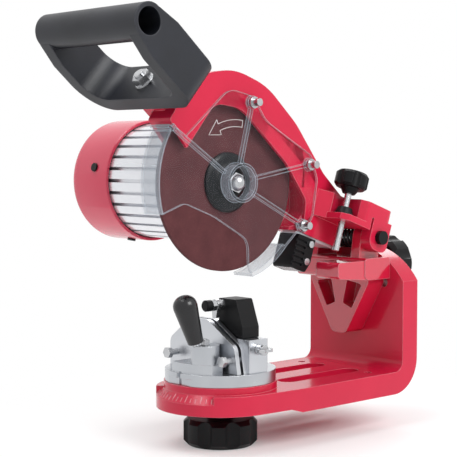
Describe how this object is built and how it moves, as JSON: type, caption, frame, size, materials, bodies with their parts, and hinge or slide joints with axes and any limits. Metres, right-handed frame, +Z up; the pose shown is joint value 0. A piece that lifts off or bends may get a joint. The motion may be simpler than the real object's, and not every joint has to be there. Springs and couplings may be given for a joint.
{
  "type": "bench chain sharpener",
  "caption": "Bench grinder for saw chains: thin resin wheel on a sprung motor arm with handle, tilting head, L-shaped base and a turning chain vise.",
  "frame": {"origin": "on the bench top, midway between the two long bench slots of the base", "axes": "+X operator's right (clear guard side), +Y away from the operator, +Z up from the bench"},
  "size_m": [0.2122, 0.3446, 0.348],
  "materials": {
    "red_paint": "gloss enamel on a casting",
    "motor_fins": "bright finned casting",
    "black_plastic": "moulded, lightly grained",
    "zinc_steel": "zinc plated",
    "vise_casting": "cast and machined",
    "clear_plastic": "clear moulded",
    "wheel_resin": "resin bonded abrasive",
    "black_steel": "black oxide",
    "lamp_glass": "clear lens",
    "motor_iron": "laminated steel",
    "spring_steel": "drawn wire"
  },
  "bodies": {
    "base": {"base_casting": "red_paint"},
    "head": {"tilt_bracket": "red_paint", "tilt_pivot_pin": "zinc_steel", "tilt_pivot_nut": "zinc_steel", "tilt_lock_stud": "zinc_steel", "tilt_washer": "zinc_steel", "hinge_pin": "zinc_steel", "hinge_pin_caps": "black_plastic", "return_spring": "spring_steel"},
    "tilt_lock": {"tilt_knob": "black_plastic"},
    "arm": {"arm_casting": "red_paint", "handle": "black_plastic", "handle_bolt": "zinc_steel", "handle_nut": "zinc_steel", "motor_housing": "motor_fins", "motor_end_cap": "red_paint", "cap_screws": "zinc_steel", "motor_bolts": "zinc_steel", "motor_stator": "motor_iron", "front_bearing": "zinc_steel", "rear_bearing": "zinc_steel", "switch_bezel": "black_plastic", "cable_gland": "black_plastic", "wheel_guard": "clear_plastic", "guard_screws": "zinc_steel", "lamp_bracket": "zinc_steel", "lamp_housing": "black_plastic", "lamp_lens": "lamp_glass", "lamp_screws": "zinc_steel"},
    "spindle": {"motor_shaft": "zinc_steel", "motor_rotor": "motor_iron", "cooling_fan": "black_plastic", "inner_flange": "zinc_steel", "outer_flange": "black_steel", "grinding_wheel": "wheel_resin", "spindle_nut": "zinc_steel"},
    "depth_stop": {"depth_rod": "zinc_steel", "depth_knob": "black_plastic"},
    "depth_lock": {"depth_lock_nut": "black_plastic"},
    "rocker": {"switch_rocker": "black_plastic"},
    "vise": {"vise_turntable": "vise_casting", "vise_stud": "zinc_steel", "vise_washer": "zinc_steel", "fixed_jaw": "zinc_steel", "jaw_bolts": "zinc_steel", "cam_stud": "zinc_steel", "cam_nut": "zinc_steel", "stop_bracket": "zinc_steel"},
    "vise_lock": {"vise_lock_knob": "black_plastic"},
    "clamp_jaw": {"moving_jaw": "zinc_steel"},
    "clamp_cam": {"cam_drum": "vise_casting", "lever_rod": "zinc_steel", "lever_grip": "black_plastic"},
    "chain_stop": {"stop_block": "black_plastic", "pawl_pin": "zinc_steel", "pawl_nuts": "zinc_steel", "pawl_cap": "black_plastic"},
    "pawl": {"stop_pawl": "zinc_steel"},
    "stop_screw": {"thumb_screw": "zinc_steel"}
  },
  "joints": [
    {"name": "head_tilt", "type": "hinge", "parent": "base", "child": "head", "pos_m": [0, 0.068, 0.059], "axis": [0, -1, 0], "range_deg": [-35, 35]},
    {"name": "arm_swing", "type": "hinge", "parent": "head", "child": "arm", "pos_m": [0, 0.054, 0.1365], "axis": [1, 0, 0], "range_deg": [0, 13], "stiffness_Nm_per_rad": 9, "springref_deg": -80.21},
    {"name": "wheel_spin", "type": "hinge", "parent": "arm", "child": "spindle", "pos_m": [0, -0.09172, 0.18631], "axis": [1, 0, 0], "continuous": true},
    {"name": "vise_turn", "type": "hinge", "parent": "base", "child": "vise", "pos_m": [0, -0.096, 0.0254], "axis": [0, 0, 1], "range_deg": [-35, 35]},
    {"name": "clamp_lever", "type": "hinge", "parent": "vise", "child": "clamp_cam", "pos_m": [0.016, -0.128, 0.05], "axis": [0, 0, 1], "range_deg": [0, 90]},
    {"name": "jaw_slide", "type": "slide", "parent": "vise", "child": "clamp_jaw", "axis": [0, -1, 0], "range_m": [0, 0.001]},
    {"name": "tilt_knob_turn", "type": "hinge", "parent": "head", "child": "tilt_lock", "pos_m": [0, 0.1, 0.109], "axis": [0, 1, 0], "continuous": true},
    {"name": "vise_knob_turn", "type": "hinge", "parent": "vise", "child": "vise_lock", "pos_m": [0, -0.096, -0.015], "axis": [0, 0, 1], "continuous": true},
    {"name": "depth_screw_turn", "type": "hinge", "parent": "arm", "child": "depth_stop", "pos_m": [0.028, 0.01899, 0.14847], "axis": [0, 0.3234, 0.9463], "continuous": true},
    {"name": "depth_nut_turn", "type": "hinge", "parent": "arm", "child": "depth_lock", "pos_m": [0.028, 0.02222, 0.15793], "axis": [0, 0.3234, 0.9463], "continuous": true},
    {"name": "switch_rock", "type": "hinge", "parent": "arm", "child": "rocker", "pos_m": [-0.14, -0.0817, 0.21564], "axis": [0, 0.3234, 0.9463], "range_deg": [-5, 5]},
    {"name": "stop_screw_turn", "type": "hinge", "parent": "vise", "child": "stop_screw", "pos_m": [0.045, -0.094, 0.054], "axis": [1, 0, 0], "range_deg": [-720, 720]},
    {"name": "stop_slide", "type": "slide", "parent": "vise", "child": "chain_stop", "axis": [1, 0, 0], "range_m": [-0.002, 0.002]},
    {"name": "pawl_flip", "type": "hinge", "parent": "chain_stop", "child": "pawl", "pos_m": [0.01, -0.11, 0.088], "axis": [0, -1, 0], "range_deg": [0, 70]}
  ],
  "couplings": [
    {"joint": "clamp_lever", "follows": "jaw_slide", "rad_per_m": 1570},
    {"joint": "stop_screw_turn", "follows": "stop_slide", "rad_per_m": 6283}
  ]
}
